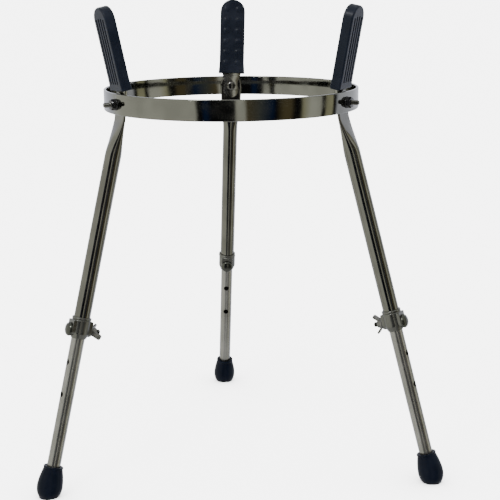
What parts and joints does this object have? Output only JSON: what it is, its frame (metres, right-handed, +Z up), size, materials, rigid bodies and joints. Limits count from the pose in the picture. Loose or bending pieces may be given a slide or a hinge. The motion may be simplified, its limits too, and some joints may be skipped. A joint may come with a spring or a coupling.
{
  "type": "conga drum basket stand",
  "caption": "Conga drum basket stand: a steel ring with rubber-sleeved arms standing up from it, on telescopic tube legs with wing-nut clamps and rubber feet.",
  "frame": {"origin": "on the floor, under the middle of the ring", "axes": "+Z up along the ring's axis; +Y towards the back leg; -Y towards the gap between the two front legs; +X to the right seen from the front"},
  "size_m": [0.4788, 0.4317, 0.5593],
  "materials": {
    "ring_black_nickel": "dark mirror plating",
    "strap_black_nickel": "dark mirror plating, brighter at the edges",
    "upper_tube_black_nickel": "dark mirror plating",
    "clamp_black_nickel": "dark plating over a casting, slightly soft",
    "lower_tube_satin_nickel": "satin nickel plating",
    "clamp_bolt_black_nickel": "dark plated, polished head",
    "wing_nut_nickel": "grey nickel plating over a casting",
    "black_hardware": "black zinc, semi-gloss",
    "grip_rubber": "moulded, satin, near-black",
    "foot_rubber": "moulded, matt, near-black"
  },
  "bodies": {
    "basket": {"basket_ring": "ring_black_nickel", "grip_strap_left": "strap_black_nickel", "grip_pad_left": "grip_rubber", "ring_bolt_left": "black_hardware", "ring_washer_left": "black_hardware", "ring_nut_left": "black_hardware", "upper_leg_left": "upper_tube_black_nickel", "leg_clamp_left": "clamp_black_nickel", "grip_strap_right": "strap_black_nickel", "grip_pad_right": "grip_rubber", "ring_bolt_right": "black_hardware", "ring_washer_right": "black_hardware", "ring_nut_right": "black_hardware", "upper_leg_right": "upper_tube_black_nickel", "leg_clamp_right": "clamp_black_nickel", "grip_strap_back": "strap_black_nickel", "grip_pad_back": "grip_rubber", "ring_bolt_back": "black_hardware", "ring_washer_back": "black_hardware", "ring_nut_back": "black_hardware", "upper_leg_back": "upper_tube_black_nickel", "leg_clamp_back": "clamp_black_nickel"},
    "lower_leg_left": {"lower_leg_left": "lower_tube_satin_nickel", "rubber_foot_left": "foot_rubber"},
    "clamp_bolt_left": {"clamp_bolt_left": "clamp_bolt_black_nickel"},
    "clamp_washer_left": {"clamp_washer_left": "black_hardware"},
    "wing_nut_left": {"wing_nut_left": "wing_nut_nickel"},
    "lower_leg_right": {"lower_leg_right": "lower_tube_satin_nickel", "rubber_foot_right": "foot_rubber"},
    "clamp_bolt_right": {"clamp_bolt_right": "clamp_bolt_black_nickel"},
    "clamp_washer_right": {"clamp_washer_right": "black_hardware"},
    "wing_nut_right": {"wing_nut_right": "wing_nut_nickel"},
    "lower_leg_back": {"lower_leg_back": "lower_tube_satin_nickel", "rubber_foot_back": "foot_rubber"},
    "clamp_bolt_back": {"clamp_bolt_back": "clamp_bolt_black_nickel"},
    "clamp_washer_back": {"clamp_washer_back": "black_hardware"},
    "wing_nut_back": {"wing_nut_back": "wing_nut_nickel"}
  },
  "joints": [
    {"name": "left_leg_slide", "type": "slide", "parent": "basket", "child": "lower_leg_left", "axis": [-0.2058, -0.1578, -0.9658], "range_m": [-0.077, 0.154]},
    {"name": "left_bolt_draw", "type": "slide", "parent": "basket", "child": "clamp_bolt_left", "axis": [-0.8414, -0.4754, 0.257], "range_m": [0, 0.045]},
    {"name": "left_nut_travel", "type": "slide", "parent": "basket", "child": "clamp_washer_left", "axis": [0.8414, 0.4754, -0.257], "range_m": [0, 0.013]},
    {"name": "left_nut_turn", "type": "hinge", "parent": "clamp_washer_left", "child": "wing_nut_left", "pos_m": [-0.17869, -0.11349, 0.19268], "axis": [0.8414, 0.4754, -0.257], "range_deg": [0, 4680]},
    {"name": "right_leg_slide", "type": "slide", "parent": "basket", "child": "lower_leg_right", "axis": [0.2395, -0.0994, -0.9658], "range_m": [-0.077, 0.154]},
    {"name": "right_bolt_draw", "type": "slide", "parent": "basket", "child": "clamp_bolt_right", "axis": [0.8324, -0.491, 0.257], "range_m": [0, 0.045]},
    {"name": "right_nut_travel", "type": "slide", "parent": "basket", "child": "clamp_washer_right", "axis": [-0.8324, 0.491, -0.257], "range_m": [0, 0.013]},
    {"name": "right_nut_turn", "type": "hinge", "parent": "clamp_washer_right", "child": "wing_nut_right", "pos_m": [0.18763, -0.09801, 0.19268], "axis": [-0.8324, 0.491, -0.257], "range_deg": [0, 4680]},
    {"name": "back_leg_slide", "type": "slide", "parent": "basket", "child": "lower_leg_back", "axis": [-0.0337, 0.2571, -0.9658], "range_m": [-0.077, 0.154]},
    {"name": "back_bolt_draw", "type": "slide", "parent": "basket", "child": "clamp_bolt_back", "axis": [-0.009, -0.9664, -0.257], "range_m": [0, 0.045]},
    {"name": "back_nut_travel", "type": "slide", "parent": "basket", "child": "clamp_washer_back", "axis": [0.009, 0.9664, 0.257], "range_m": [0, 0.013]},
    {"name": "back_nut_turn", "type": "hinge", "parent": "clamp_washer_back", "child": "wing_nut_back", "pos_m": [-0.00894, 0.2115, 0.19268], "axis": [0.009, 0.9664, 0.257], "range_deg": [0, 4680]}
  ],
  "couplings": [
    {"joint": "left_nut_travel", "follows": "left_nut_turn", "m_per_rad": 0.00015915},
    {"joint": "right_nut_travel", "follows": "right_nut_turn", "m_per_rad": 0.00015915},
    {"joint": "back_nut_travel", "follows": "back_nut_turn", "m_per_rad": 0.00015915}
  ]
}
